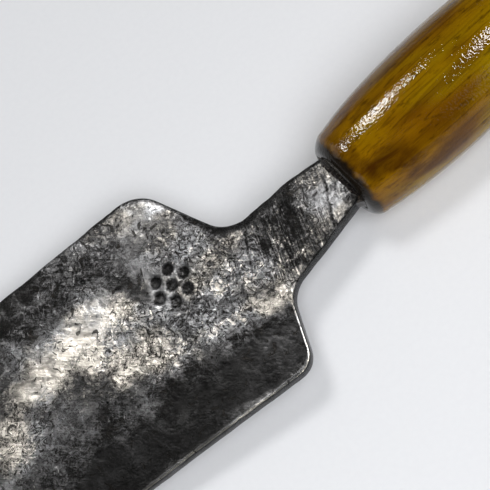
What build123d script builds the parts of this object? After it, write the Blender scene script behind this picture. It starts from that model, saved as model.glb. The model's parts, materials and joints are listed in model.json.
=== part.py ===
from build123d import *
from math import cos, radians, sin, tan
import os

# Palette knife: a broad forged spatula blade whose neck runs into a turned handle. Millimetres.
# The knife lies as it does on a table, on the tip of its blade and the belly of its handle.
# +X runs from tip to handle, +Z is up, and the origin is on the table under the middle.
# Blade, neck and front face are laid out from the root, in the plane of the blade's underside.

# ---- driving dimensions: blade --------------------------------------------------------------
BLADE_LENGTH = 110.0  # tip to root, where the shoulders meet the neck
SHOULDER_HALF_WIDTH = 25.1
TIP_HALF_WIDTH = 23.6  # where the rounded tip begins
ROOT_THICKNESS = 3.0
TIP_THICKNESS = 1.6
TIP_CORNER_RADIUS = 21.0
EDGE_ROUNDING = 0.4

# The two shoulders were forged by eye, so they don't match. Each slopes back from the root.
FAR_SHOULDER_X = -11.3  # corner of the +Y shoulder, from the root
FAR_SHOULDER_RADIUS = 8.0
NEAR_SHOULDER_X = -2.3  # corner of the -Y shoulder, from the root
NEAR_SHOULDER_RADIUS = 4.4

# ---- driving dimensions: neck ---------------------------------------------------------------
FAR_NOTCH = (-1.35, 6.25)  # where the +Y shoulder turns into the neck, from the root
FAR_WAIST = (14.3, 7.25)  # where the neck's +Y edge starts to close in
NEAR_NOTCH = (1.8, -10.87)
FAR_NOTCH_RADIUS = 6.5
FAR_WAIST_RADIUS = 40.0
NEAR_NOTCH_RADIUS = 6.5
NECK_BEND_RADIUS = 30.0
NECK_END_X = 25.4  # end of the full-width neck, inside the handle
NECK_END_FAR_Y = 6.6
NECK_END_NEAR_Y = -3.1
NECK_END_THICKNESS = 4.1

# ---- driving dimensions: handle, tang and resin ---------------------------------------------
REST_ANGLE = 5.25  # degrees, blade's plane above the table when tip and belly both touch it
HANDLE_DROP = 5.0  # degrees, handle axis below the blade's plane
HANDLE_SWING = 8.2  # degrees, handle axis towards +Y from the blade's centre line
FRONT_X = 21.3  # centre of the handle's front face, from the root
FRONT_Y = 1.0
HANDLE_LENGTH = 108.0
FRONT_FACE_RADIUS = 6.6
COLLAR = (3.0, 9.65)  # distance along the handle, radius
BELLY = (28.0, 11.7)
WAIST = (78.0, 9.4)
POMMEL = (99.0, 10.0)

SLOT_WIDTH = 12.8
SLOT_HEIGHT = 5.4
SLOT_DEPTH = 6.0
SLOT_CORNER_RADIUS = 1.2
BORE_DIAMETER = 9.8
BORE_DEPTH = 72.0
BEAD_HEIGHT = 0.8  # resin standing proud of the handle's front face

TANG_START = 3.0
TANG_END = 67.0
TANG_ROOT_WIDTH = 8.0
TANG_ROOT_THICKNESS = 4.0
TANG_TIP_WIDTH = 5.0
TANG_TIP_THICKNESS = 3.0

# ---- places worked out from the dimensions --------------------------------------------------
TALLEST = 60.0  # clears the whole knife in height
rest = radians(REST_ANGLE)
drop = radians(HANDLE_DROP)
swing = radians(HANDLE_SWING)

# In the blade's own frame: X from the root to the butt, Y across, Z out of the blade.
local_front = Vector(FRONT_X, FRONT_Y, ROOT_THICKNESS / 2 - FRONT_X * tan(drop))
local_axis = Vector(cos(drop) * cos(swing), cos(drop) * sin(swing), -sin(drop))
local_butt = local_front + local_axis * HANDLE_LENGTH
reach = local_butt.X * cos(rest) - local_butt.Z * sin(rest)  # root to butt, level
root_x = (BLADE_LENGTH * cos(rest) - reach) / 2  # centres the overall length on the origin
tip_rise = EDGE_ROUNDING * (sin(rest) + cos(rest) - 1)  # the rounded tip's lowest point
root_z = BLADE_LENGTH * sin(rest) - tip_rise

along_blade = Vector(cos(rest), 0, sin(rest))
out_of_blade = Vector(-sin(rest), 0, cos(rest))
blade_plane = Plane(origin=(root_x, 0, root_z), x_dir=along_blade, z_dir=out_of_blade)
side_plane = Plane(origin=(root_x, 0, root_z), x_dir=along_blade, z_dir=(0, -1, 0))

handle_front = blade_plane.from_local_coords(local_front)
handle_axis = (blade_plane.from_local_coords(local_butt) - handle_front).normalized()
handle_side = Vector(0, 0, 1).cross(handle_axis).normalized()
# X of this plane is the distance along the handle and Y is the radius, upwards.
profile_plane = Plane(origin=handle_front, x_dir=handle_axis, z_dir=-handle_side)
# X of this plane runs across the knife, Y is square to the handle, and Z runs into it.
section_plane = Plane(origin=handle_front, x_dir=handle_side, z_dir=handle_axis)

neck_end_middle = ROOT_THICKNESS / 2 - NECK_END_X * tan(drop)
neck_end_x = blade_plane.from_local_coords(Vector(NECK_END_X, 0, 0)).X

# ---- forged blade: spatula, neck and tang in one piece ----------------------------------------
with BuildPart() as forged_blade:
    with BuildSketch(side_plane.offset(-TALLEST)) as side_profile:
        with BuildLine():
            FilletPolyline(
                (-BLADE_LENGTH, 0),
                (0, 0),
                (NECK_END_X, neck_end_middle - NECK_END_THICKNESS / 2),
                (NECK_END_X, neck_end_middle + NECK_END_THICKNESS / 2),
                (0, ROOT_THICKNESS),
                (-BLADE_LENGTH, TIP_THICKNESS),
                radius=[0, NECK_BEND_RADIUS, 0, 0, NECK_BEND_RADIUS, 0],
                close=True,
            )
        make_face()
    extrude(amount=2 * TALLEST)
    with BuildSketch(blade_plane) as plan_outline:
        with BuildLine():
            FilletPolyline(
                (-BLADE_LENGTH, TIP_HALF_WIDTH),
                (FAR_SHOULDER_X, SHOULDER_HALF_WIDTH),
                FAR_NOTCH,
                FAR_WAIST,
                (NECK_END_X, NECK_END_FAR_Y),
                (NECK_END_X, NECK_END_NEAR_Y),
                NEAR_NOTCH,
                (NEAR_SHOULDER_X, -SHOULDER_HALF_WIDTH),
                (-BLADE_LENGTH, -TIP_HALF_WIDTH),
                radius=[
                    TIP_CORNER_RADIUS,
                    FAR_SHOULDER_RADIUS,
                    FAR_NOTCH_RADIUS,
                    FAR_WAIST_RADIUS,
                    0,
                    0,
                    NEAR_NOTCH_RADIUS,
                    NEAR_SHOULDER_RADIUS,
                    TIP_CORNER_RADIUS,
                ],
                close=True,
            )
        make_face()
    extrude(amount=TALLEST, both=True, mode=Mode.INTERSECT)
    faces = forged_blade.faces()
    walls = faces.filter_by(lambda face: abs(face.normal_at().dot(out_of_blade)) < 0.01)
    rims = walls.edges().filter_by(lambda edge: abs((edge % 0.5).dot(out_of_blade)) < 0.9)
    rims = rims.filter_by(lambda edge: edge.center().X < neck_end_x - NECK_END_THICKNESS / 2)
    fillet(rims, EDGE_ROUNDING)
    with BuildSketch(section_plane.offset(TANG_START)):
        Rectangle(TANG_ROOT_WIDTH, TANG_ROOT_THICKNESS)
    with BuildSketch(section_plane.offset(TANG_END)):
        Rectangle(TANG_TIP_WIDTH, TANG_TIP_THICKNESS)
    loft()
forged_blade.part.label = "forged_blade"

# ---- turned handle ----------------------------------------------------------------------------
with BuildPart() as turned_handle:
    with BuildSketch(profile_plane):
        with BuildLine():
            Line((0, 0), (0, FRONT_FACE_RADIUS))
            Spline((0, FRONT_FACE_RADIUS), COLLAR, tangents=[(0.25, 1), (1, 0.2)])
            Spline(
                COLLAR,
                BELLY,
                WAIST,
                POMMEL,
                (HANDLE_LENGTH, 0),
                tangents=[(1, 0.2), (1, 0), (1, 0), (1, 0), (0, -1)],
            )
            Line((HANDLE_LENGTH, 0), (0, 0))
        make_face()
    revolve(axis=Axis(handle_front, handle_axis))
    with BuildSketch(section_plane):
        RectangleRounded(SLOT_WIDTH, SLOT_HEIGHT, SLOT_CORNER_RADIUS)
    extrude(amount=SLOT_DEPTH, mode=Mode.SUBTRACT)
    with BuildSketch(section_plane):
        Circle(BORE_DIAMETER / 2)
    extrude(amount=BORE_DEPTH, mode=Mode.SUBTRACT)
turned_handle.part.label = "turned_handle"

# ---- resin bed: fills slot and bore round the tang, with a bead left standing in front ----------
with BuildPart() as tang_adhesive:
    with BuildSketch(section_plane.offset(-BEAD_HEIGHT)):
        RectangleRounded(SLOT_WIDTH, SLOT_HEIGHT, SLOT_CORNER_RADIUS)
    extrude(amount=BEAD_HEIGHT + SLOT_DEPTH)
    with BuildSketch(section_plane):
        Circle(BORE_DIAMETER / 2)
    extrude(amount=BORE_DEPTH)
    add(forged_blade.part, mode=Mode.SUBTRACT)
tang_adhesive.part.label = "tang_adhesive"

os.makedirs("parts", exist_ok=True)
export_step(forged_blade.part, "parts/forged_blade.step")
export_step(turned_handle.part, "parts/turned_handle.step")
export_step(tang_adhesive.part, "parts/tang_adhesive.step")
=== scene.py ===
import json
import math

import bpy
import numpy as np
from mathutils import Matrix, Vector


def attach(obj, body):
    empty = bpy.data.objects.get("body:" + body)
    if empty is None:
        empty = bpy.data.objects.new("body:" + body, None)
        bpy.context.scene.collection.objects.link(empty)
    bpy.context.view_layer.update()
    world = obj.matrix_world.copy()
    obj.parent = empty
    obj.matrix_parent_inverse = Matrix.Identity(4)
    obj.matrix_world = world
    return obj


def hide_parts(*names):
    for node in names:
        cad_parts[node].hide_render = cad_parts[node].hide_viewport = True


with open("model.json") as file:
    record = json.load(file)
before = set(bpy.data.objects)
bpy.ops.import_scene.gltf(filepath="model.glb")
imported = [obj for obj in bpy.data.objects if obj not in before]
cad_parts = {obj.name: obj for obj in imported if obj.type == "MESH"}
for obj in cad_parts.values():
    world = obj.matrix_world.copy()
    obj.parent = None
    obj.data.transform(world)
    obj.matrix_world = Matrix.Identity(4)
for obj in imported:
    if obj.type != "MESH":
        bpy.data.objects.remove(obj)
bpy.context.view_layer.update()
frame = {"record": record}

record = frame["record"]
MM = 0.001

# The visible surfaces of a palette knife, one mesh for each CAD node. Shapes are worked out in
# millimetres in the blade's own frame: from its root, X towards the handle, Y towards the far
# side and Z out of the upper side. They are then placed in the row frame, in metres.

# ---- the part's dimensions, in millimetres and degrees, as the CAD has them --------------------
BLADE_LENGTH = 110.0
SHOULDER_HALF_WIDTH = 25.1
TIP_HALF_WIDTH = 23.6
ROOT_THICKNESS = 3.0
TIP_THICKNESS = 1.6
TIP_CORNER_RADIUS = 21.0
FAR_SHOULDER_X = -11.3
FAR_SHOULDER_RADIUS = 8.0
NEAR_SHOULDER_X = -2.3
NEAR_SHOULDER_RADIUS = 4.4
FAR_NOTCH = (-1.35, 6.25)
FAR_WAIST = (14.3, 7.25)
NEAR_NOTCH = (1.8, -10.87)
FAR_NOTCH_RADIUS = 6.5
FAR_WAIST_RADIUS = 40.0
NEAR_NOTCH_RADIUS = 6.5
NECK_BEND_RADIUS = 30.0
NECK_END_X = 25.4
NECK_END_FAR_Y = 6.6
NECK_END_NEAR_Y = -3.1
NECK_END_THICKNESS = 4.1
HANDLE_DROP = 5.0
HANDLE_SWING = 8.2
FRONT_X = 21.3
FRONT_Y = 1.0
HANDLE_LENGTH = 108.0
FRONT_FACE_RADIUS = 6.6
COLLAR = (3.0, 9.65)
COLLAR_SLOPE = 0.2
BELLY = (28.0, 11.7)
WAIST = (78.0, 9.4)
POMMEL = (99.0, 10.0)
SLOT_HALF_WIDTH = 6.4
SLOT_HALF_HEIGHT = 2.7
SLOT_DEPTH = 6.0
TANG_START = 3.0
TANG_END = 67.0
TANG_ROOT_WIDTH = 8.0
TANG_ROOT_THICKNESS = 4.0
TANG_TIP_WIDTH = 5.0
TANG_TIP_THICKNESS = 3.0
MOUNT_BEHIND_ROOT = 50.0  # from the blade_underside mount to the blade's root

# ---- the blade's own frame, found from the record's mount on the blade's underside -------------
mount = {m["name"]: m for m in record["mounts"]}["blade_underside"]
out_of_blade = -Vector(mount["axis"]).normalized()
across_blade = Vector((0, 1, 0))
along_blade = across_blade.cross(out_of_blade).normalized()
blade_root = Vector(mount["pos_m"]) + along_blade * MOUNT_BEHIND_ROOT * MM
blade_axes = np.array([along_blade, across_blade, out_of_blade])
blade_origin = np.array(blade_root)

drop = math.radians(HANDLE_DROP)
swing = math.radians(HANDLE_SWING)
front_local = np.array([FRONT_X, FRONT_Y, ROOT_THICKNESS / 2 - FRONT_X * math.tan(drop)])
axis_local = np.array(
    [math.cos(drop) * math.cos(swing), math.cos(drop) * math.sin(swing), -math.sin(drop)]
)


def from_blade(points):
    """Points in the blade's frame in millimetres, as points in the row frame in metres."""
    return blade_origin + (np.asarray(points, float) * MM) @ blade_axes


handle_front = from_blade(front_local)
handle_axis = axis_local @ blade_axes
handle_side = np.cross([0.0, 0.0, 1.0], handle_axis)
handle_side /= np.linalg.norm(handle_side)
handle_up = np.cross(handle_axis, handle_side)
side_local = blade_axes @ handle_side


def from_handle(s, across, up):
    """Distances along, across and above the handle's axis in millimetres, in the row frame."""
    s, across, up = (np.asarray(v, float)[..., None] * MM for v in (s, across, up))
    return handle_front + s * handle_axis + across * handle_side + up * handle_up


# ---- numbers: noise, soft shapes and rounded chains --------------------------------------------
def smooth(low, high, value):
    """0 below low, 1 above high, and an S curve between."""
    t = np.clip((value - low) / (high - low), 0, 1)
    return t * t * (3 - 2 * t)


def noise(x, y, seed):
    """Gradient noise with features about one unit across, between about -1 and 1."""
    cells = 256
    turns = np.random.default_rng(seed).uniform(0, 2 * np.pi, (cells, cells))
    ix, iy = np.floor(x).astype(int), np.floor(y).astype(int)
    fx, fy = x - ix, y - iy

    def corner(dx, dy):
        """The slope from one corner of each cell, at the points in it."""
        turn = turns[(ix + dx) % cells, (iy + dy) % cells]
        return np.cos(turn) * (fx - dx) + np.sin(turn) * (fy - dy)

    u = fx**3 * (fx * (fx * 6 - 15) + 10)
    v = fy**3 * (fy * (fy * 6 - 15) + 10)
    low = corner(0, 0) * (1 - u) + corner(1, 0) * u
    high = corner(0, 1) * (1 - u) + corner(1, 1) * u
    return 1.6 * (low * (1 - v) + high * v)


def rough(x, y, size, octaves, seed):
    """Noise summed over octaves, its largest features about size across. Each use has its seed."""
    total = np.zeros_like(x)
    for k in range(octaves):
        step = 2.03**k / size
        total += noise(x * step + 17.3 * k, y * step - 9.1 * k, seed + k) * 0.55**k
    return total


def turned(x, y, angle):
    """Coordinates along and across a direction at an angle in degrees from +X."""
    c, s = math.cos(math.radians(angle)), math.sin(math.radians(angle))
    return x * c + y * s, y * c - x * s


def blob(x, y, centre, radii, angle=0.0):
    """A soft ellipse: 1 at its centre, falling to 0 round its edge."""
    u, v = turned(x - centre[0], y - centre[1], angle)
    return 1 - smooth(0.35, 1.25, np.hypot(u / radii[0], v / radii[1]))


def ridge(value, middle, width):
    """1 where a value is at its middle, falling to 0 on both sides of it."""
    return np.exp(-(((value - middle) / width) ** 2))


def rounded(corners, radii, step=3.0):
    """A chain of points through corners, each rounded by its radius, a step in degrees apart."""
    points = [np.array(corners[0], float)]
    for before, corner, after, radius in zip(corners, corners[1:], corners[2:], radii):
        corner = np.array(corner, float)
        back, on = np.array(before) - corner, np.array(after) - corner
        back, on = back / np.linalg.norm(back), on / np.linalg.norm(on)
        turn = math.pi - math.acos(np.clip(back @ on, -1, 1))
        reach = radius * math.tan(turn / 2)
        middle = back + on
        centre = corner + middle / np.linalg.norm(middle) * radius / math.cos(turn / 2)
        first, last = corner + back * reach - centre, corner + on * reach - centre
        count = max(2, int(math.degrees(turn) / step) + 1)
        for t in np.linspace(0, 1, count):
            spoke = (math.sin((1 - t) * turn) * first + math.sin(t * turn) * last) / math.sin(turn)
            points.append(centre + spoke)
    points.append(np.array(corners[-1], float))
    return np.array(points)


class Chain:
    """An outline that runs towards +X, with its point and outward normal at any X."""

    def __init__(self, points, outward):
        """Takes the outline's points, and 1 if it is the far side or -1 if it is the near one."""
        keep = np.concatenate([[True], np.diff(points[:, 0]) > 1e-6])
        self.points = points[keep]
        tangent = np.gradient(self.points, axis=0)
        tangent /= np.linalg.norm(tangent, axis=1)[:, None]
        self.normals = np.stack([-tangent[:, 1], tangent[:, 0]], 1) * outward

    def at(self, x):
        """The outline's points and unit normals at each X."""
        y = np.interp(x, self.points[:, 0], self.points[:, 1])
        n = np.stack([np.interp(x, self.points[:, 0], self.normals[:, k]) for k in (0, 1)], 1)
        return np.stack([x, y], 1), n / np.linalg.norm(n, axis=1)[:, None]


def make_piece(name, points, faces, replaced, material):
    """A smooth-shaded mesh piece that rides on the body and stands for a CAD node."""
    mesh = bpy.data.meshes.new(name)
    mesh.from_pydata([tuple(p) for p in points], [], faces)
    mesh.validate()
    mesh.polygons.foreach_set("use_smooth", [True] * len(mesh.polygons))
    mesh.materials.append(material)
    mesh.update()
    piece = bpy.data.objects.new(name, mesh)
    bpy.context.scene.collection.objects.link(piece)
    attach(piece, "root")
    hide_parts(replaced)
    return piece


def ring_faces(count, around, closed=False):
    """Faces between neighbouring rings of points, and from the last ring to the first if closed."""
    faces = []
    for i in range(count if closed else count - 1):
        here, there = i * around, (i + 1) % count * around
        for k in range(around):
            after = (k + 1) % around
            faces.append((here + k, here + after, there + after, there + k))
    return faces


def add_values(piece, name, values):
    """A number for each vertex, for the material to read."""
    layer = piece.data.attributes.new(name, "FLOAT", "POINT")
    layer.data.foreach_set("value", np.asarray(values, np.float32))


# ---- materials: small helpers for nodes --------------------------------------------------------
class Paint:
    """A material's node tree, built a node at a time."""

    def __init__(self, name):
        self.material = bpy.data.materials.new(name)
        self.material.use_nodes = True
        self.nodes = self.material.node_tree.nodes
        self.links = self.material.node_tree.links
        self.shader = self.nodes["Principled BSDF"]

    def join(self, socket, value):
        """Links an input to another node's output, or sets it to a value."""
        if isinstance(value, bpy.types.NodeSocket):
            self.links.new(value, socket)
        else:
            socket.default_value = value

    def set(self, node, **values):
        """Joins a node's inputs by name, with _ for a space."""
        for key, value in values.items():
            self.join(node.inputs[key.replace("_", " ")], value)

    def place(self):
        """Object coordinates, in metres."""
        return self.nodes.new("ShaderNodeTexCoord").outputs["Object"]

    def grain(self, turn, squeeze):
        """Object coordinates turned by degrees and squeezed along X, which draws marks out."""
        turned_node = self.nodes.new("ShaderNodeMapping")
        self.set(turned_node, Vector=self.place(), Rotation=(0, 0, math.radians(turn)))
        node = self.nodes.new("ShaderNodeMapping")
        self.set(node, Vector=turned_node.outputs["Vector"], Scale=(squeeze, 1, 1))
        return node.outputs["Vector"]

    def noise(self, vector, scale, detail=3.0, roughness=0.55, distortion=0.0):
        """Cloudy noise from 0 to 1, with so many features to the metre."""
        node = self.nodes.new("ShaderNodeTexNoise")
        self.set(node, Vector=vector, Scale=scale, Detail=detail, Roughness=roughness)
        self.set(node, Distortion=distortion)
        return node.outputs["Fac"]

    def value(self, name):
        """The number that add_values gave each vertex under a name."""
        node = self.nodes.new("ShaderNodeAttribute")
        node.attribute_name = name
        return node.outputs["Fac"]

    def math(self, operation, *values):
        """The result of a sum on one or two values."""
        node = self.nodes.new("ShaderNodeMath")
        node.operation = operation
        for socket, value in zip(node.inputs, values):
            self.join(socket, value)
        return node.outputs["Value"]

    def plus(self, a, b):
        return self.math("ADD", a, b)

    def minus(self, a, b):
        return self.math("SUBTRACT", a, b)

    def times(self, a, b):
        return self.math("MULTIPLY", a, b)

    def swing(self, value, share):
        """How far a noise is above or below its middle, times a share."""
        return self.times(self.minus(value, 0.5), share)

    def range(self, value, low, high, to_low=0.0, to_high=1.0):
        """An S curve from to_low, at or below low, to to_high, at or above high."""
        node = self.nodes.new("ShaderNodeMapRange")
        node.interpolation_type = "SMOOTHSTEP"
        for socket, given in zip(node.inputs, (value, low, high, to_low, to_high)):
            self.join(socket, given)
        return node.outputs["Result"]

    def vein(self, value, low, high):
        """1 along the lines where a noise crosses its middle, falling to 0 beside them."""
        return self.range(self.math("ABSOLUTE", self.minus(value, 0.5)), low, high, 1.0, 0.0)

    def mix(self, share, a, b):
        """Colour a where the share is 0, and colour b where it is 1."""
        node = self.nodes.new("ShaderNodeMix")
        node.data_type = "RGBA"
        self.join(node.inputs[0], share)
        for socket, colour in ((node.inputs[6], a), (node.inputs[7], b)):
            self.join(socket, (*colour, 1.0) if isinstance(colour, tuple) else colour)
        return node.outputs[2]

    def bump(self, height, distance, normal=None):
        """A normal that tilts with a height of 1 standing for a distance in metres."""
        node = self.nodes.new("ShaderNodeBump")
        self.set(node, Height=height, Distance=distance, Strength=1.0)
        if normal is not None:
            self.set(node, Normal=normal)
        return node.outputs["Normal"]


# ---- the forging: outline, heights and surface -------------------------------------------------
TOP_COLUMNS = 138  # a multiple of UNDER_SHARE
UNDER_SHARE = 3
EDGE_ROUNDING = 0.42  # a little more than the CAD's, as the edges are worn

far_chain = Chain(
    rounded(
        [
            (-BLADE_LENGTH, 0.0),
            (-BLADE_LENGTH, TIP_HALF_WIDTH),
            (FAR_SHOULDER_X, SHOULDER_HALF_WIDTH),
            FAR_NOTCH,
            FAR_WAIST,
            (NECK_END_X, NECK_END_FAR_Y),
        ],
        [TIP_CORNER_RADIUS, FAR_SHOULDER_RADIUS, FAR_NOTCH_RADIUS, FAR_WAIST_RADIUS],
    )[1:],
    1,
)
near_chain = Chain(
    rounded(
        [
            (-BLADE_LENGTH, 0.0),
            (-BLADE_LENGTH, -TIP_HALF_WIDTH),
            (NEAR_SHOULDER_X, -SHOULDER_HALF_WIDTH),
            NEAR_NOTCH,
            (NECK_END_X, NECK_END_NEAR_Y),
        ],
        [TIP_CORNER_RADIUS, NEAR_SHOULDER_RADIUS, NEAR_NOTCH_RADIUS],
    )[1:],
    -1,
)

neck_end_middle = ROOT_THICKNESS / 2 - NECK_END_X * math.tan(drop)
upper_side = rounded(
    [
        (-BLADE_LENGTH, TIP_THICKNESS),
        (0.0, ROOT_THICKNESS),
        (NECK_END_X, neck_end_middle + NECK_END_THICKNESS / 2),
    ],
    [NECK_BEND_RADIUS],
    step=0.5,
)
lower_side = rounded(
    [
        (-BLADE_LENGTH, 0.0),
        (0.0, 0.0),
        (NECK_END_X, neck_end_middle - NECK_END_THICKNESS / 2),
    ],
    [NECK_BEND_RADIUS],
    step=0.5,
)

# The maker's device, generic: one round punch mark with six more round it.
PUNCH_CENTRE = (-15.6, 4.4)
PUNCH_RING = 3.3
PUNCH_COUNT = 6
PUNCH_TURN = 12.0  # degrees, from +X to the ring's first mark
PUNCH_RADIUS = 1.25


def punch_marks(x, y):
    """How deep the punch marks are: 1 at their middles and 0 outside them."""
    depth = np.zeros_like(x)
    centres = [PUNCH_CENTRE]
    for k in range(PUNCH_COUNT):
        turn = math.radians(360 / PUNCH_COUNT * k + PUNCH_TURN)
        ahead, aside = PUNCH_RING * math.cos(turn), PUNCH_RING * math.sin(turn)
        centres.append((PUNCH_CENTRE[0] + ahead, PUNCH_CENTRE[1] + aside))
    for cx, cy in centres:
        reach = np.hypot(x - cx, y - cy) / PUNCH_RADIUS
        depth = np.maximum(depth, np.sqrt(np.clip(1 - reach**2, 0, 1)))
    return depth


# Laps where the smith folded the surface over: middle, angle in degrees, half length.
LAPS = [((17.2, -1.35), 68, 6.0), ((-0.3, 0.0), 67, 4.8)]
LAP_WIDTH = 0.22
LAP_END = 1.5  # how far from its ends a lap starts to fade


def laps(x, y):
    """1 in the thin laps on the neck, falling to 0 beside them."""
    deep = np.zeros_like(x)
    for middle, angle, half_length in LAPS:
        u, v = turned(x - middle[0], y - middle[1], angle)
        v = v + 0.3 * rough(u, v * 0, 5.0, 3, 271)
        ends = smooth(half_length, half_length - LAP_END, np.abs(u))
        deep = np.maximum(deep, ridge(v, 0.0, LAP_WIDTH) * ends)
    return deep


# How bare the steel is, with no patch over it: 1 is bright steel and 0 is dark scale.
BARE_STEEL = 0.22
# Where it differs: centre, radii, angle in degrees, and how much barer the steel is there. The
# patches are partly worn scale and partly painted highlight and painted shade.
BARE_AND_LIGHT_PATCHES = [
    ((-45.5, 6.0), (9.5, 4.6), 8, 0.58),  # the bright patches, bare steel with painted highlight, past the middle of the blade
    ((-32.5, 8.8), (9.5, 5.6), -12, 0.50),
    ((-28.0, -3.2), (12.5, 4.4), -28, 0.52),
    ((-57.0, -2.0), (6.5, 6.5), 18, 0.55),
    ((-14.5, 21.3), (8.5, 4.6), -14, 0.18),  # the far shoulder
    (PUNCH_CENTRE, (5.5, 5.5), 0, 0.16),
    ((-4.5, -0.5), (8.0, 6.5), 0, 0.19),  # the root
    ((-5.0, -10.2), (9.5, 3.2), -8, 0.52),  # beside the near notch
    ((-18.0, -7.0), (9.0, 3.0), -22, 0.20),
    ((-13.0, 7.0), (8.0, 8.0), 0, 0.16),
    ((17.5, 1.2), (5.6, 9.0), 8, 0.05),  # the neck, by the handle
    ((-23.0, 10.0), (3.4, 8.0), 12, -0.30),
    ((-10.5, 14.0), (6.0, 3.8), -20, -0.08),
    ((-44.0, 20.5), (27.0, 7.5), 0, -0.42),  # the far long side
    ((-72.0, 14.0), (16.0, 12.0), 10, -0.16),
    ((-35.0, -19.5), (52.0, 9.0), 0, -0.62),  # the near long side
    ((-7.0, -20.0), (12.0, 6.5), 0, -0.42),  # the near shoulder
    ((-10.0, -13.2), (5.0, 2.6), 0, -0.30),
    ((5.5, 0.0), (6.6, 12.0), 12, -0.13),  # painted shade in the hollows across the neck
    ((10.5, 3.0), (1.9, 8.0), -14, -0.26),
    ((-88.0, 2.0), (14.0, 13.0), 20, 0.30),  # behind the tip
    ((-46.0, -9.5), (15.0, 5.0), 0, -0.32),
    ((-25.5, 4.0), (6.5, 4.5), -20, 0.34),
    ((-38.0, 3.6), (8.0, 3.8), 0, 0.32),
]


def bare_steel_and_light(x, y):
    """Where the forge scale is worn off the upper side, with painted highlight and painted shade: 1
    is bright steel and 0 is dark scale.
    """
    wx = x + 1.6 * rough(x, y, 7.0, 3, 101)
    wy = y + 1.6 * rough(x, y, 7.0, 3, 111)
    amount = BARE_STEEL + 0.12 * rough(x, y, 16.0, 2, 121)
    for centre, radii, angle, change in BARE_AND_LIGHT_PATCHES:
        amount = amount + change * blob(wx, wy, centre, radii, angle)
    return amount


# How gritty the surface is, with no patch over it, and where it differs: centre, radii, change.
GRIT = 0.62
GRIT_PATCHES = [
    ((-6.0, 0.0), (9.0, 8.0), 0.45),
    ((-35.0, -19.5), (52.0, 8.0), -0.62),
    ((-6.0, -20.0), (12.0, 6.5), -0.35),
    ((-32.0, 9.0), (9.0, 5.0), -0.45),
    ((-47.0, 6.0), (8.0, 4.0), -0.40),
    ((-15.0, 21.0), (7.0, 3.5), -0.25),
    (PUNCH_CENTRE, (6.0, 6.0), -0.40),
    ((-22.0, -4.5), (9.0, 5.0), 0.30),
    ((-20.5, 9.5), (4.0, 6.5), -0.30),
    ((5.5, -1.0), (6.5, 9.0), 0.30),
    ((18.5, 2.0), (6.0, 9.0), -0.15),
]


def steel_grit(x, y):
    """How gritty the steel and its scale are: 0 is rubbed smooth and 1 is as it left the forge."""
    amount = GRIT + 0.25 * rough(x, y, 12.0, 3, 521)
    for centre, radii, change in GRIT_PATCHES:
        amount = amount + change * blob(x, y, centre, radii)
    return amount


def near_long_edge(x, y):
    """1 along the near side of the blade, falling to 0 at its shoulder and across its width."""
    return smooth(-8.0, -15.0, y) * smooth(6.0, -3.0, x)


# The upper side's relief: how high or deep each kind of mark is.
BROAD_SWELL = 0.10
NARROW_SWELL = 0.030
SIDE_FALL = 0.0016  # of the blade's long sides, hammered thinner outside SIDE_START
SIDE_START = 9.0
HAMMER_BLOWS = 34
BLOW_RADII = (4.5, 8.5)
BLOW_DEPTHS = (0.015, 0.065)
PLATE_STEPS = (0.045, 0.035)  # plates of scale, and further plates on them
CHIP_DEPTH = 0.035
PIT_DEPTH = 0.05
CALM = 0.75  # share of these marks that is missing along the near long side
LAP_DEPTH = 0.08
PUNCH_DEPTH = 0.5
PUNCH_LIP = (5.4, 0.8, 0.05)  # steel pushed up round the device: radius, width, height
EDGE_FALL = (2.2, 0.16)  # rolled-off edges: how far in from the edge, how deep at it
BURR = (0.6, 0.05)  # the lip along the near long edge: how far in, how high
FAR_CORNER_FALL = (2.8, 0.45)  # the far notch, rolled off more: how far in, how deep
FAR_CORNER = (0.0, 9.0)

# The neck was drawn out with the hammer's edge, which left hollows and a ridge across it.
NECK_WAVE_ANGLE = 12.0
NECK_WAVES = [(9.9, 1.5, -0.30), (13.6, 2.2, 0.16), (4.2, 3.4, -0.22)]  # place, width, height


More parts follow.
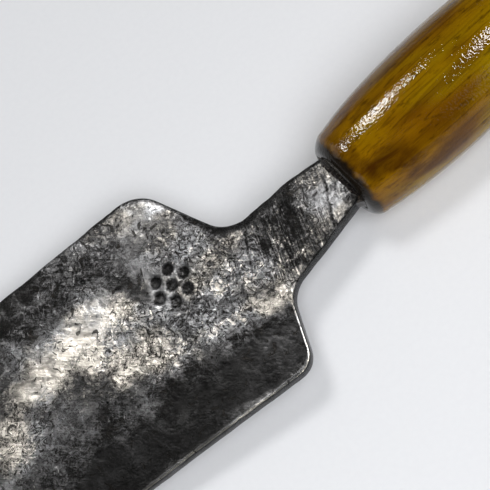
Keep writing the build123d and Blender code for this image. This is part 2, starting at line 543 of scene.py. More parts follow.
def upper_relief(x, y, edge):
    """The upper side's height above its smooth shape, at a distance from the edge."""
    height = BROAD_SWELL * rough(x, y, 19.0, 2, 201) + NARROW_SWELL * rough(x, y, 6.5, 3, 211)
    height -= SIDE_FALL * np.clip(np.abs(y) - SIDE_START, 0, None) ** 1.9
    rng = np.random.default_rng(5)
    for _ in range(HAMMER_BLOWS):
        cx, cy = rng.uniform(-106, 0), rng.uniform(-24, 24)
        radius, deep = rng.uniform(*BLOW_RADII), rng.uniform(*BLOW_DEPTHS)
        reach = np.hypot(x - cx, y - cy) / radius
        height -= deep * smooth(1.0, 0.25, reach)
    wx = x + 0.9 * rough(x, y, 3.2, 3, 221)
    wy = y + 0.9 * rough(x, y, 3.2, 3, 231)
    plates = rough(wx, wy, 11.0, 4, 241)
    height += PLATE_STEPS[0] * smooth(-0.02, 0.05, plates)
    height += PLATE_STEPS[1] * smooth(0.34, 0.40, plates)
    chips = rough(wx, wy, 4.2, 3, 251)
    height -= CHIP_DEPTH * smooth(0.30, 0.40, chips)
    pits = rough(x, y, 1.7, 2, 261)
    height -= PIT_DEPTH * smooth(0.42, 0.62, pits)
    height *= 1 - CALM * blob(x, y, (-40.0, -21.0), (56.0, 10.0))
    u, _ = turned(x, y, NECK_WAVE_ANGLE)
    for middle, width, rise in NECK_WAVES:
        height += rise * ridge(u, middle, width) * smooth(0.0, 3.0, x)
    height -= LAP_DEPTH * laps(x, y)
    height -= PUNCH_DEPTH * punch_marks(x, y)
    radius, width, rise = PUNCH_LIP
    from_device = np.hypot(x - PUNCH_CENTRE[0], y - PUNCH_CENTRE[1])
    height += rise * ridge(from_device, radius, width)
    near_side_band = near_long_edge(x, y)
    inset, fall = EDGE_FALL
    height -= fall * (1 - near_side_band) * np.clip(1 - edge / inset, 0, 1) ** 2
    inset, rise = BURR
    height += rise * near_side_band * np.clip(1 - edge / inset, 0, 1)
    inset, fall = FAR_CORNER_FALL
    corner = blob(x, y, FAR_CORNER, (13.0, 6.5))
    height -= fall * corner * np.clip(1 - edge / inset, 0, 1) ** 2
    return height


# How far apart the mesh's rows are along the blade: wide at its front and close at its root.
WIDE_STEP = 0.62
STEP = 0.29
CLOSE_STEP = 0.17
TANG_ROWS = (TANG_START + 1.2, 20.0, 45.0, TANG_END)  # distances along the handle
EDGE_WOBBLE = 0.10


def forging_rows():
    """The near and far ends of the rows that the forging's mesh is made of, seen in plan.

    Each comes with its outward normals. The middles and half thicknesses of the tang's rows,
    which are the last ones and follow the handle's axis, come after them.
    """
    arc = np.radians(np.linspace(0, 62, 30))
    arc_x = -BLADE_LENGTH + TIP_CORNER_RADIUS * (1 - np.cos(arc))
    stations = np.concatenate(
        [
            arc_x,
            np.arange(arc_x[-1] + 0.6, -63.0, WIDE_STEP),
            np.arange(-62.6, -13.0, STEP),
            np.arange(-12.9, 6.0, CLOSE_STEP),
            np.arange(6.2, NECK_END_X, STEP),
            [NECK_END_X],
        ]
    )
    far_edge, far_normal = far_chain.at(stations)
    near_edge, near_normal = near_chain.at(stations)
    visible = smooth(-109, -100, stations) * smooth(25, 18, stations)
    wobble = EDGE_WOBBLE * rough(stations, stations * 0, 9.0, 3, 301)
    far_edge = far_edge + far_normal * (wobble * visible)[:, None]
    wobble = EDGE_WOBBLE * rough(stations, stations * 0 + 40, 11.0, 3, 311)
    near_edge = near_edge + near_normal * (wobble * visible)[:, None]
    far_row = far_edge - far_normal * EDGE_ROUNDING
    near_row = near_edge - near_normal * EDGE_ROUNDING

    tang_s = np.array(TANG_ROWS)
    share = (tang_s - TANG_START) / (TANG_END - TANG_START)
    middle = front_local + tang_s[:, None] * axis_local
    half_width = (TANG_ROOT_WIDTH + (TANG_TIP_WIDTH - TANG_ROOT_WIDTH) * share) / 2
    half_width -= EDGE_ROUNDING
    far_row = np.vstack([far_row, (middle + side_local * half_width[:, None])[:, :2]])
    near_row = np.vstack([near_row, (middle - side_local * half_width[:, None])[:, :2]])
    far_normal = np.vstack([far_normal, np.tile(side_local[:2], (len(tang_s), 1))])
    near_normal = np.vstack([near_normal, np.tile(-side_local[:2], (len(tang_s), 1))])
    tang_half = (TANG_ROOT_THICKNESS + (TANG_TIP_THICKNESS - TANG_ROOT_THICKNESS) * share) / 2
    return near_row, near_normal, far_row, far_normal, middle, tang_half


def forging_heights(x, y, edge, tang_middle, tang_half):
    """The heights of the upper side and the underside at each point of the plan."""
    fade = smooth(NECK_END_X - 1.0, NECK_END_X - 5.0, x)
    upper = np.interp(x, upper_side[:, 0], upper_side[:, 1]) + fade * upper_relief(x, y, edge)
    lower = np.interp(x, lower_side[:, 0], lower_side[:, 1])
    swell = 0.07 * rough(x, y, 13.0, 3, 401)
    plates = 0.05 * smooth(0.0, 0.06, rough(x, y, 9.0, 4, 411))
    lower += fade * (swell + plates)
    lower += fade * 0.12 * np.clip(1 - edge / 2.0, 0, 1) ** 2
    first = len(x) - len(tang_half)
    upper[first:] = (tang_middle[:, 2] + tang_half)[:, None]
    lower[first:] = (tang_middle[:, 2] - tang_half)[:, None]
    return upper, lower


# The kinds of points that the forging's mesh has.
TOP, ARRIS, WALL, UNDERSIDE = 0.0, 1.0, 2.0, 3.0


def forging_mesh():
    """The forging's points and faces, with each point's kind and its distance from the edge."""
    near_row, near_normal, far_row, far_normal, tang_middle, tang_half = forging_rows()
    rows = len(far_row)
    v = np.linspace(0, 1, TOP_COLUMNS + 1)
    plan = near_row[:, None] * (1 - v)[None, :, None] + far_row[:, None] * v[None, :, None]
    x, y = plan[..., 0], plan[..., 1]
    to_near = np.linalg.norm(plan - near_row[:, None], axis=2)
    to_far = np.linalg.norm(plan - far_row[:, None], axis=2)
    across = np.abs(far_normal[:, 1])[:, None]
    edge = np.minimum(np.minimum(to_near, to_far) * np.clip(across, 0.35, 1), x + BLADE_LENGTH)
    upper, lower = forging_heights(x, y, edge, tang_middle, tang_half)

    points = [np.stack([x, y, upper], -1).reshape(-1, 3)]
    kinds = [np.full(rows * (TOP_COLUMNS + 1), TOP)]
    edges = [edge.ravel()]
    width = TOP_COLUMNS + 1
    top = np.arange(rows * width).reshape(rows, width)
    faces = []
    for i in range(rows - 1):
        for j in range(TOP_COLUMNS):
            faces.append((top[i, j], top[i + 1, j], top[i + 1, j + 1], top[i, j + 1]))

    # The rim runs along the tip to the far side, along that, across the tang's end and back.
    loop = [(0, j) for j in range(width)]
    loop += [(i, width - 1) for i in range(1, rows)]
    loop += [(rows - 1, j) for j in range(width - 2, -1, -1)]
    loop += [(i, 0) for i in range(rows - 2, 0, -1)]
    li, lj = np.array(loop).T
    outward = np.zeros((len(loop), 2))
    outward[:width] = (-1.0, 0.0)
    outward[width : width + rows - 1] = far_normal[1:]
    outward[width + rows - 1 : 2 * width + rows - 2] = axis_local[:2]
    outward[2 * width + rows - 2 :] = near_normal[rows - 2 : 0 : -1]
    rim_x, rim_y = x[li, lj], y[li, lj]
    rim_top, rim_low = upper[li, lj], lower[li, lj]
    thin = np.minimum(EDGE_ROUNDING, (rim_top - rim_low) * 0.42)
    worn = thin * (0.85 + 0.25 * rough(rim_x, rim_y, 5.0, 2, 421))
    rings = [top[li, lj]]
    start = rows * width
    # Down the rim: the angle round its corner in degrees, and 1 above its middle or -1 below.
    profile = [(35, 1), (65, 1), (90, 1), (None, 0), (90, -1), (60, -1), (30, -1)]
    for angle, side in profile:
        if side == 0:
            out = EDGE_ROUNDING + 0.05 * rough(rim_x * 1.4, rim_y * 1.4, 3.0, 2, 431)
            z = (rim_top + rim_low) / 2
        else:
            turn = math.radians(angle)
            out = EDGE_ROUNDING * math.sin(turn)
            fall = worn * (1 - math.cos(turn))
            z = rim_top - fall if side > 0 else rim_low + fall
        ring = np.stack([rim_x + outward[:, 0] * out, rim_y + outward[:, 1] * out, z], 1)
        points.append(ring)
        edges.append(np.zeros(len(loop)))
        kinds.append(np.full(len(loop), ARRIS if side > 0 and angle < 50 else WALL))
        rings.append(start + np.arange(len(loop)))
        start += len(loop)
    after = np.roll(np.arange(len(loop)), -1)
    for outer, inner in zip(rings[1:], rings[:-1]):
        for k in range(len(loop)):
            faces.append((inner[k], inner[after[k]], outer[after[k]], outer[k]))

    # The underside is coarser across, so its end rows take several rim points each.
    columns = TOP_COLUMNS // UNDER_SHARE
    pick = np.arange(0, width, UNDER_SHARE)
    points.append(np.stack([x[:, pick], y[:, pick], lower[:, pick]], -1).reshape(-1, 3))
    kinds.append(np.full(rows * (columns + 1), UNDERSIDE))
    edges.append(edge[:, pick].ravel())
    under = start + np.arange(rows * (columns + 1)).reshape(rows, columns + 1)
    for i in range(rows - 1):
        for j in range(columns):
            faces.append((under[i, j], under[i, j + 1], under[i + 1, j + 1], under[i + 1, j]))
    rim = rings[-1]
    end_first = width + rows - 2
    for j in range(columns):
        k = j * UNDER_SHARE
        tip = tuple(rim[k : k + UNDER_SHARE + 1])
        faces.append((*tip, under[0, j + 1], under[0, j]))
        k += end_first
        end = tuple(rim[k : k + UNDER_SHARE + 1])
        faces.append((*end, under[-1, columns - j - 1], under[-1, columns - j]))
    near_first = 2 * width + rows - 3
    for i in range(rows - 1):
        k = width - 1 + i
        faces.append((rim[k], rim[k + 1], under[i + 1, -1], under[i, -1]))
        k = near_first + i
        row = rows - 1 - i
        faces.append((rim[k], rim[(k + 1) % len(loop)], under[row - 1, 0], under[row, 0]))
    faces = [tuple(int(n) for n in face) for face in faces]
    return np.vstack(points), faces, np.concatenate(kinds), np.concatenate(edges)


# Colours are linear. A pair is the two that its kind of surface varies between.
SCALE_THICK = (0.009, 0.009, 0.009)
SCALE_THIN = ((0.050, 0.050, 0.051), (0.100, 0.100, 0.104))
STEEL_DULL = ((0.24, 0.227, 0.208), (0.205, 0.21, 0.22))
# STEEL_BRIGHT also colours painted highlights, and SCALE_THICK colours painted shade.
STEEL_BRIGHT = ((0.47, 0.440, 0.395), (0.66, 0.625, 0.575))
DIRT = (0.016, 0.015, 0.014)
# Angles in degrees: brush lines on the blade, brush lines on the neck, slivers of lost scale.
BLADE_BRUSHING = 40.0
NECK_BRUSHING = -76.0
SLIVER_ANGLE = -64.0
STEEL_BUMP = 0.00018  # metres


def steel_paint():
    """Forged steel: bright where the scale is worn off, blue-black scale where it isn't; its mask
    also carries painted highlights and painted shade.
    """
    paint = Paint("forged_steel")
    plain = paint.place()
    bare_and_painted_light = paint.value("bare_and_painted_light")
    grit = paint.value("grit")
    neck = paint.value("neck")  # 0 on the blade and 1 on the neck

    plate = paint.noise(plain, 190.0, 6.0, 0.60, 0.9)
    flake = paint.noise(plain, 470.0, 5.0, 0.56, 1.1)
    worm = paint.noise(plain, 2000.0, 3.0, 0.50, 1.2)
    speck = paint.noise(plain, 2400.0, 2.0, 0.55)
    pit = paint.range(flake, 0.61, 0.64)
    step = paint.range(plate, 0.490, 0.504)
    wrinkle = paint.range(worm, 0.40, 0.60)

    # Cracks in the scale wander over its plates, and finer ones run round its flakes.
    seam = paint.noise(plain, 330.0, 3.0, 0.5, 1.3)
    torn = paint.noise(plain, 260.0, 4.0, 0.6, 0.4)
    wandering = paint.times(paint.vein(seam, 0.004, 0.024), paint.range(torn, 0.49, 0.55))
    crack = paint.math("MAXIMUM", wandering, paint.vein(flake, 0.002, 0.028))
    crack = paint.times(crack, paint.range(grit, 0.10, 0.70))
    # Slivers of scale have sprung off across the blade.
    sliver = paint.noise(paint.grain(SLIVER_ANGLE, 0.28), 1500.0, 2.0, 0.5, 0.8)
    sliver = paint.times(paint.range(sliver, 0.68, 0.72), paint.range(grit, 0.20, 0.60))

    # Brush lines run aslant over the blade and across the neck.
    slant = paint.noise(paint.grain(BLADE_BRUSHING, 0.06), 2800.0, 3.0, 0.6, 0.5)
    cross = paint.noise(paint.grain(NECK_BRUSHING, 0.10), 2300.0, 3.0, 0.6, 0.5)
    lines = paint.plus(paint.times(slant, paint.minus(1.0, neck)), paint.times(cross, neck))

    # Scale comes off in plates, flakes and lines, so their noise cuts the share of bare steel.
    flake_share = paint.range(neck, 0.0, 1.0, -0.90, -0.30)
    line_share = paint.range(neck, 0.0, 1.0, 0.55, 1.50)
    ragged = paint.swing(plate, 1.3)
    for cut, share in ((flake, flake_share), (speck, 0.35), (lines, line_share), (wrinkle, 0.15)):
        ragged = paint.plus(ragged, paint.swing(cut, share))
    ragged = paint.times(ragged, paint.plus(paint.times(grit, 1.35), 0.08))
    # The level mixes worn scale with the painted highlights and painted shade that the mesh's
    # values carry.
    level = paint.plus(paint.plus(bare_and_painted_light, ragged), paint.times(sliver, 0.45))
    thin = paint.range(level, -0.25, 0.15)
    worn = paint.range(level, 0.12, 0.66)
    shiny = paint.range(level, 0.55, 1.00)

    tint = paint.noise(plain, 95.0, 3.0)
    colour = paint.mix(paint.range(tint, 0.38, 0.62), *SCALE_THIN)
    colour = paint.mix(thin, SCALE_THICK, colour)
    colour = paint.mix(worn, colour, paint.mix(paint.range(tint, 0.42, 0.58), *STEEL_DULL))
    colour = paint.mix(shiny, colour, paint.mix(paint.range(lines, 0.35, 0.65), *STEEL_BRIGHT))
    hollow = paint.math("MAXIMUM", paint.times(pit, 0.85), paint.times(crack, 0.92))
    colour = paint.mix(hollow, colour, DIRT)
    roughness = paint.plus(paint.range(worn, 0.0, 1.0, 0.33, 0.31), paint.swing(speck, 0.20))

    line_height = paint.range(neck, 0.0, 1.0, 0.20, 0.55)
    flake_height = paint.range(neck, 0.0, 1.0, 1.1, 0.55)
    height = paint.times(wrinkle, 0.32)
    height = paint.plus(height, paint.times(lines, line_height))
    height = paint.plus(height, paint.times(flake, flake_height))
    height = paint.minus(height, paint.times(crack, 0.60))
    height = paint.times(height, grit)
    height = paint.minus(height, paint.times(pit, 0.30))
    firm = paint.times(paint.range(grit, 0.05, 0.40), paint.minus(step, pit))
    height = paint.plus(height, paint.times(firm, 0.35))
    height = paint.plus(height, paint.times(speck, 0.15))
    normal = paint.bump(height, STEEL_BUMP)
    paint.set(paint.shader, Base_Color=colour, Metallic=1.0, Roughness=roughness, Normal=normal)
    return paint.material


points, faces, kinds, to_edge = forging_mesh()
forging = make_piece(
    "forged_blade_surface", from_blade(points), faces, "forged_blade", steel_paint()
)
px, py = points[:, 0], points[:, 1]
near_side_band = near_long_edge(px, py)
# Thick scale and painted shade run along the far edge, widest in the far notch.
far_band_width = 0.45 + 1.5 * blob(px, py, FAR_CORNER, (12.0, 6.0))
far_scale_and_shade = smooth(-2.0, 4.0, py) * smooth(far_band_width, 0.1, to_edge)
top = bare_steel_and_light(px, py) - 1.3 * punch_marks(px, py) - 0.55 * far_scale_and_shade
# Painted highlight: a thin bright line on the upper side at the near long edge.
top = top + 0.8 * near_side_band * smooth(0.32, 0.02, to_edge)
top = top - 0.7 * laps(px, py)
# The arris: steel with a painted highlight along the near long edge, darkened along the far one.
arris = 0.20 + 0.85 * near_side_band - 0.2 * far_scale_and_shade + 0.12 * rough(px, py, 4.0, 2, 501)
# Painted shade: the rim's walls below the arris are painted as dark scale.
wall = np.full_like(px, -0.25)
underside = 0.42 + 0.30 * rough(px, py, 14.0, 3, 511)
bare_and_painted_light = np.select([kinds == TOP, kinds == ARRIS, kinds == WALL], [top, arris, wall], underside)
add_values(forging, "bare_and_painted_light", np.clip(bare_and_painted_light, -0.16, 1.2))
add_values(forging, "grit", np.clip(steel_grit(px, py), 0.06, 1.2))
add_values(forging, "neck", smooth(-3.0, 2.5, px))

# ---- the handle --------------------------------------------------------------------------------
AROUND = 160
CORNER_RINGS = 13
RING_STEP = 0.5
BUTT_RINGS = 26
SOAK_REACH = 1.60  # how far along the handle the resin soaked its front corner

# Heat darkened patches of the wood, mostly near the collar: centre as the distances along the
# handle and round it, radii, angle in degrees, and how dark.
SMOKE_PATCHES = [
    ((8.0, 26.5), (6.0, 4.0), 20, 0.52),
    ((3.0, 20.0), (2.2, 14.0), 0, 0.35),
    ((17.0, 32.0), (13.0, 4.5), 0, 0.40),
    ((13.0, 12.0), (9.0, 3.0), 0, 0.25),
    ((30.0, 20.0), (6.0, 2.5), 0, 0.25),
]


def superellipse(half_width, half_height, angle, power=6.0):
    """Across and up on a rounded rectangle at an angle."""
    c, s = np.cos(angle), np.sin(angle)
    across = half_width * np.sign(c) * np.abs(c) ** (2 / power)
    up = half_height * np.sign(s) * np.abs(s) ** (2 / power)
    return across, up


def hermite(t, a, b, slope_a, slope_b, run):
    """A cubic from a to b with the given slopes at its ends."""
    return (
        (2 * t**3 - 3 * t**2 + 1) * a
        + (t**3 - 2 * t**2 + t) * run * slope_a
        + (3 * t**2 - 2 * t**3) * b
        + (t**3 - t**2) * run * slope_b
    )


def body_radius(s):
    """The turned profile from the collar to the pommel."""
    knots = [(*COLLAR, COLLAR_SLOPE), (*BELLY, 0.0), (*WAIST, 0.0), (*POMMEL, 0.0)]
    radius = np.zeros_like(s)
    for (s0, r0, m0), (s1, r1, m1) in zip(knots, knots[1:]):
        inside = (s >= s0) & (s <= s1)
        radius[inside] = hermite((s[inside] - s0) / (s1 - s0), r0, r1, m0, m1, s1 - s0)
    return radius


def handle_mesh():
    """The handle's points and faces, with each point's place along, across and above its axis."""
    angle = np.linspace(0, 2 * np.pi, AROUND, endpoint=False)
    level = np.ones(AROUND)

    def slot(bigger):
        """The slot's outline, made bigger all round."""
        return superellipse(SLOT_HALF_WIDTH + bigger, SLOT_HALF_HEIGHT + bigger, angle)

    # The slot's wall, its broken corner, then the front face.
    rings = [(level * SLOT_DEPTH, *slot(0.0)), (level * 0.35, *slot(0.0))]
    rings.append((level * 0.08, *slot(0.1)))
    lip = np.array(slot(0.3))
    rim = (FRONT_FACE_RADIUS + 0.25) * np.array([np.cos(angle), np.sin(angle)])
    for share in (0.0, 0.35, 0.7):
        rings.append((level * 0.0, *((1 - share) * lip + share * rim)))
    # The front corner is worn rounder on its far side.
    soft = 0.5 + 0.5 * np.cos(angle - math.radians(15))
    for turn in np.radians(np.linspace(6, 90, CORNER_RINGS)):
        deep = COLLAR[0] * (1 - math.cos(turn)) * (1 + 0.15 * soft)
        out = FRONT_FACE_RADIUS + (COLLAR[1] - FRONT_FACE_RADIUS) * math.sin(turn) ** 0.92
        out = out - 0.35 * soft * math.sin(2 * turn) ** 2
        rings.append((deep, out * np.cos(angle), out * np.sin(angle)))
    for s in np.arange(COLLAR[0] + 0.6, POMMEL[0], RING_STEP):
        out = body_radius(np.full(1, s))[0]
        ease = 0.15 * COLLAR[0] * soft * smooth(9.0, 3.0, level * s)
        rings.append((level * s + ease, out * np.cos(angle), out * np.sin(angle)))
    for turn in np.radians(np.linspace(0, 88, BUTT_RINGS)):
        s = POMMEL[0] + (HANDLE_LENGTH - POMMEL[0]) * math.sin(turn)
        out = POMMEL[1] * math.cos(turn) ** 0.9
        rings.append((level * s, out * np.cos(angle), out * np.sin(angle)))
    s, across, up = (np.array([ring[k] for ring in rings]) for k in range(3))
    # Scraped and sanded by hand: shallow flats along the grain.
    aside, above = np.cos(angle)[None], np.sin(angle)[None]
    flats = rough(aside * 2.2 + s / 34.0, above * 2.2 + 0 * s, 1.0, 3, 601)
    grain = rough(aside * 9.0 + s / 60.0, above * 9.0 + 0 * s, 1.0, 2, 611)
    body = smooth(3.0, 8.0, np.hypot(across, up)) * smooth(1.0, 5.0, s)
    grow = 1 + body * (0.007 * flats - 0.004 + 0.0014 * grain)
    across, up = across * grow, up * grow
    points = from_handle(s, across, up).reshape(-1, 3)
    faces = ring_faces(len(rings), AROUND)
    # The slot's floor and the middle of the butt close the two ends.
    faces.append(tuple(range(AROUND - 1, -1, -1)))
    faces.append(tuple(range(len(points) - AROUND, len(points))))
    return points, faces, s.ravel(), across.ravel(), up.ravel()


LACQUER_BUMP = 0.00004  # metres
PORE_BUMP = 0.00003
WOOD_DARK = (0.135, 0.053, 0.0001)
WOOD_PALE = (0.225, 0.105, 0.0001)
WOOD_OLIVE = (0.235, 0.143, 0.0001)
STREAK = (0.075, 0.027, 0.0001)
FIBRE = (0.050, 0.018, 0.0001)
FLECK = (0.045, 0.018, 0.0001)
SMOKE = (0.045, 0.0140, 0.0001)
SOAKED = (0.010, 0.0065, 0.0035)


def wood_paint():
    """Amber-dyed wood under glossy lacquer, darkened with heat and resin at its front."""
    paint = Paint("lacquered_wood")
    yaw = math.degrees(math.atan2(handle_axis[1], handle_axis[0]))
    along = paint.grain(-yaw, 0.035)
    loose = paint.grain(-yaw, 0.35)
    plain = paint.place()

    fibre = paint.noise(along, 1800.0, 4.0, 0.6, 0.3)
    streak = paint.noise(along, 420.0, 3.0, 0.55, 0.6)
    cloud = paint.noise(loose, 120.0, 3.0, 0.55)
    green = paint.plus(paint.noise(loose, 90.0, 2.0, 0.5), paint.value("olive"))
    fleck = paint.noise(loose, 900.0, 3.0, 0.6)
    mottle = paint.noise(loose, 330.0, 4.0, 0.6, 0.6)
    smoke = paint.plus(paint.value("smoke"), paint.minus(mottle, 0.5))

    colour = paint.mix(paint.range(cloud, 0.38, 0.62), WOOD_DARK, WOOD_PALE)
    colour = paint.mix(paint.range(green, 0.50, 0.72), colour, WOOD_OLIVE)
    colour = paint.mix(paint.range(streak, 0.50, 0.68, 0.0, 0.55), colour, STREAK)
    colour = paint.mix(paint.range(fibre, 0.50, 0.66, 0.0, 0.50), colour, FIBRE)
    colour = paint.mix(paint.range(fleck, 0.56, 0.70, 0.0, 0.60), colour, FLECK)
    colour = paint.mix(paint.range(smoke, 0.05, 0.75), colour, SMOKE)
    colour = paint.mix(paint.value("soak"), colour, SOAKED)

    # The lacquer is brushed on, so its skin has waves, peel and dimples.
    wave = paint.noise(loose, 160.0, 2.0, 0.5)
    peel = paint.noise(plain, 900.0, 2.0, 0.5)
    dimple = paint.noise(plain, 2200.0, 1.0, 0.5)
    skin = paint.plus(wave, paint.plus(paint.times(peel, 0.60), paint.times(dimple, 1.25)))
    coat = paint.bump(skin, LACQUER_BUMP)
    pores = paint.bump(fibre, PORE_BUMP, normal=coat)
    paint.set(paint.shader, Base_Color=colour, Roughness=0.5, Specular_IOR_Level=0.0, Normal=pores)
    paint.set(paint.shader, Coat_Weight=1.0, Coat_Roughness=0.05, Coat_IOR=1.33, Coat_Normal=coat)
    return paint.material


points, faces, hs, ha, hu = handle_mesh()
handle = make_piece(
    "turned_handle_surface", points, faces, "turned_handle", wood_paint()
)
around = np.arctan2(hu, ha)
# Resin soaked a ragged band of the front corner, and all of the slot.
reach = SOAK_REACH + 0.45 * rough(np.cos(around) * 3.0, np.sin(around) * 3.0, 1.0, 3, 621)
in_slot = (np.hypot(ha, hu) < FRONT_FACE_RADIUS - 0.6) & (hs < 2 * SLOT_DEPTH)
soak = np.where(in_slot, 1.0, smooth(reach + 0.7, reach - 0.5, hs))
add_values(handle, "soak", soak)
add_values(handle, "olive", 0.15 * smooth(12.0, 34.0, hs) + 0.06 * smooth(0.0, -8.0, ha))
arc = around * BELLY[1]
smoke = np.zeros_like(arc)
for centre, radii, angle, share in SMOKE_PATCHES:
    smoke = smoke + share * blob(hs, arc, centre, radii, angle)
add_values(handle, "smoke", smoke)

# ---- the resin: a meniscus round the neck where it enters the handle ---------------------------
RESIN_AROUND = 120
NECK_HALF_WIDTH = 5.55
NECK_HALF_THICKNESS = 1.93
NECK_OFFSET = 0.22  # of the neck's middle, from the handle's axis
RESIN_DARK = (0.010, 0.0075, 0.006)
RESIN_DUSTY = (0.030, 0.021, 0.013)


def resin_mesh():
    """A closed skin: up the neck's foot, over the front face, and back inside the slot."""
    angle = np.linspace(0, 2 * np.pi, RESIN_AROUND, endpoint=False)
    level = np.ones(RESIN_AROUND)
    lump = rough(np.cos(angle) * 2.0, np.sin(angle) * 2.0, 1.0, 3, 701)
    near_corner = ridge(np.cos(angle), -1.0, 0.25)
    climb = 0.75 + 0.25 * lump + 0.85 * near_corner
    spread = 0.85 + 0.30 * lump + 0.35 * near_corner
    neck = np.array(superellipse(NECK_HALF_WIDTH, NECK_HALF_THICKNESS, angle))
    neck[0] += NECK_OFFSET
    away = neck / np.linalg.norm(neck, axis=0)
    rings = [(-climb, *(neck * 0.985))]
    for share in (0.12, 0.28, 0.46, 0.66, 0.84, 0.96):
        rings.append((-climb * (1 - share) ** 1.9 - 0.04, *(neck + spread * share * away)))
    rings.append((level * 0.05, *(neck + spread * away)))
    # Inside the slot the skin goes down its wall and comes back up beside the tang.
    inner = superellipse(SLOT_HALF_WIDTH - 0.05, SLOT_HALF_HEIGHT - 0.05, angle)
    rings.append((level * 0.6, *inner))
    rings.append((level * (SLOT_DEPTH - 0.3), *inner))
    rings.append((level * (SLOT_DEPTH - 0.3), *(neck * 0.6)))
    rings.append((level * 1.0, *(neck * 0.95)))
    s, across, up = (np.array([ring[k] for ring in rings]) for k in range(3))
    points = from_handle(s, across, up).reshape(-1, 3)
    return points, ring_faces(len(rings), RESIN_AROUND, closed=True)


def resin_paint():
    """Dark glossy epoxy with dust in it."""
    paint = Paint("dark_resin")
    plain = paint.place()
    dust = paint.noise(plain, 1600.0, 3.0, 0.6)
    colour = paint.mix(paint.range(dust, 0.45, 0.7), RESIN_DARK, RESIN_DUSTY)
    lumps = paint.bump(paint.noise(plain, 700.0, 3.0, 0.5), 0.00012)
    roughness = paint.range(dust, 0.3, 0.7, 0.12, 0.30)
    paint.set(paint.shader, Base_Color=colour, Roughness=roughness, Normal=lumps)
    return paint.material


points, faces = resin_mesh()
make_piece("tang_adhesive_bead", points, faces, "tang_adhesive", resin_paint())

# ---- floor, light and camera -------------------------------------------------------------------
FLOOR_HALF = 4.0
FLOOR_COLOURS = ((0.79, 0.795, 0.81), (0.83, 0.835, 0.845))
WHITE = (1.0, 1.0, 1.0)
WARM = (1.0, 0.98, 0.95)
COOL = (0.97, 0.978, 1.0)
BACKDROP = 0.78  # what the camera sees past the floor
SKY = (0.95, 0.97, 1.0, 1.0)
SKY_AT_HORIZON = 0.26
SKY_OVERHEAD = 0.05


def make_floor():
    """A wide pale floor at the height of the table."""
    paint = Paint("pale_floor")
    speck = paint.noise(paint.place(), 900.0, 3.0)
    paint.set(paint.shader, Base_Color=paint.mix(speck, *FLOOR_COLOURS), Roughness=0.9)
    mesh = bpy.data.meshes.new("floor")
    corners = [(-FLOOR_HALF, -FLOOR_HALF, 0.0), (FLOOR_HALF, -FLOOR_HALF, 0.0)]
    corners += [(FLOOR_HALF, FLOOR_HALF, 0.0), (-FLOOR_HALF, FLOOR_HALF, 0.0)]
    mesh.from_pydata(corners, [], [(0, 1, 2, 3)])
    mesh.materials.append(paint.material)
    floor = bpy.data.objects.new("floor", mesh)
    bpy.context.scene.collection.objects.link(floor)


def card(name, direction, distance, size, radiance, colour, mirrored=True):
    """A flat soft light facing the blade's root: its mirror image only, or its light only."""
    light = bpy.data.lights.new(name, "AREA")
    light.shape = "RECTANGLE"
    light.size, light.size_y = size
    light.energy = radiance * math.pi * size[0] * size[1]
    light.color = colour
    lamp = bpy.data.objects.new(name, light)
    away = Vector(direction).normalized()
    lamp.location = blade_root + away * distance
    lamp.rotation_mode = "QUATERNION"
    lamp.rotation_quaternion = away.to_track_quat("Z", "Y")
    lamp.visible_camera = False
    lamp.visible_glossy = mirrored
    lamp.visible_diffuse = not mirrored
    bpy.context.scene.collection.objects.link(lamp)


def sun(name, direction, angle, strength, colour):
    """Soft light from far away in a direction, for the floor and matt surfaces only."""
    light = bpy.data.lights.new(name, "SUN")
    light.angle = math.radians(angle)
    light.energy = strength
    light.color = colour
    lamp = bpy.data.objects.new(name, light)
    lamp.rotation_mode = "QUATERNION"
    lamp.rotation_quaternion = Vector(direction).to_track_quat("Z", "Y")
    lamp.visible_glossy = False
    bpy.context.scene.collection.objects.link(lamp)


def make_world():
    """A room that is dark overhead and paler near the horizon, with an even backdrop."""
    world = bpy.data.worlds.new("studio")
    world.use_nodes = True
    sky = world.node_tree.nodes
    join = world.node_tree.links.new
    place = sky.new("ShaderNodeTexCoord")
    split = sky.new("ShaderNodeSeparateXYZ")
    fall = sky.new("ShaderNodeMapRange")
    fall.interpolation_type = "SMOOTHSTEP"
    for socket, given in zip(fall.inputs[1:5], (0.02, 0.28, SKY_AT_HORIZON, SKY_OVERHEAD)):
        socket.default_value = given
    join(place.outputs["Generated"], split.inputs["Vector"])
    join(split.outputs["Z"], fall.inputs["Value"])
    seen = sky.new("ShaderNodeLightPath")  # the camera sees the backdrop, and the knife the room
    backdrop = sky.new("ShaderNodeMix")
    backdrop.inputs["B"].default_value = BACKDROP
    join(seen.outputs["Is Camera Ray"], backdrop.inputs["Factor"])
    join(fall.outputs["Result"], backdrop.inputs["A"])
    join(backdrop.outputs["Result"], sky["Background"].inputs["Strength"])
    sky["Background"].inputs["Color"].default_value = SKY
    bpy.context.scene.world = world


make_floor()
make_world()
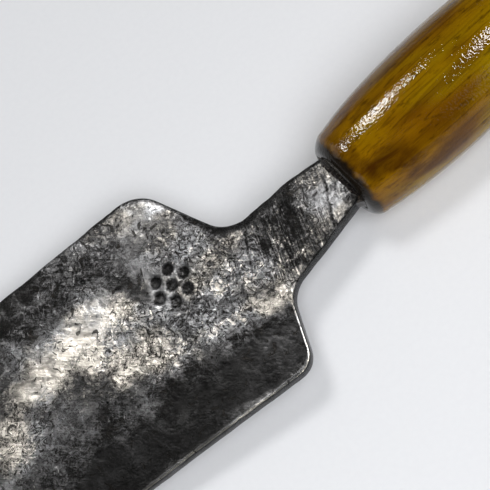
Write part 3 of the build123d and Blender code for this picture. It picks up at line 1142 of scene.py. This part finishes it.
# Each card: direction, distance and size in metres, radiance, colour.
card("streak_window", (-0.02, 0.56, 0.83), 1.0, (0.20, 0.22), 46.0, (1.0, 0.985, 0.95))
card("blade_window", (-0.36, 0.62, 0.70), 1.0, (0.26, 0.18), 4.2, (1.0, 0.97, 0.92))
card("side_window", (0.52, -0.05, 0.85), 1.0, (0.27, 0.28), 46.0, WARM)
for number, (ahead, aside) in enumerate([(1, 1), (-1, 1), (-1, -1), (1, -1)]):
    direction = (0.66 * ahead, 0.62 * aside, 0.42)
    card("low_window_" + str(number + 1), direction, 1.2, (0.8, 0.5), 1.1, WHITE)
card("near_fill", (0.12, -0.50, 0.86), 0.30, (0.25, 0.21), 2.75, COOL, mirrored=False)
# Each sun: direction, angle across in degrees, strength, colour.
sun("shadow_key", (0.0, 0.28, 0.96), 15.0, 0.86, WHITE)
sun("far_fill", (0.05, -0.48, 0.88), 36.0, 1.18, (0.965, 0.975, 1.0))

# The camera looks down on the blade's root from the near side, with the knife aslant.
CAMERA_TILT = 25.0
CAMERA_AZIMUTH = 10.0
CAMERA_ROLL = 46.88
CAMERA_DISTANCE = 280.0
CAMERA_AIM = (0.0, 1.6, 3.0)
VIEW_WIDTH = 90.74  # what the image spans at the aim point
SENSOR_WIDTH = 36.0

tilt, azimuth, roll = (math.radians(v) for v in (CAMERA_TILT, CAMERA_AZIMUTH, CAMERA_ROLL))
back = np.array(
    [math.sin(tilt) * math.sin(azimuth), -math.sin(tilt) * math.cos(azimuth), math.cos(tilt)]
)
level = np.array([math.cos(azimuth), math.sin(azimuth), 0.0])
rise = np.cross(back, level)
right = math.cos(roll) * level - math.sin(roll) * rise
upright = math.sin(roll) * level + math.cos(roll) * rise
camera_data = bpy.data.cameras.new("camera")
camera_data.sensor_width = SENSOR_WIDTH
camera_data.lens = SENSOR_WIDTH * CAMERA_DISTANCE / VIEW_WIDTH
camera_data.clip_start = 0.01
camera = bpy.data.objects.new("camera", camera_data)
bpy.context.scene.collection.objects.link(camera)
camera_axes = np.stack([right, upright, back]) @ blade_axes
camera_place = Matrix.Translation(from_blade(np.array(CAMERA_AIM) + back * CAMERA_DISTANCE))
camera.matrix_world = camera_place @ Matrix(camera_axes.T.tolist()).to_4x4()
bpy.context.scene.camera = camera
bpy.context.scene.view_settings.view_transform = "Standard"
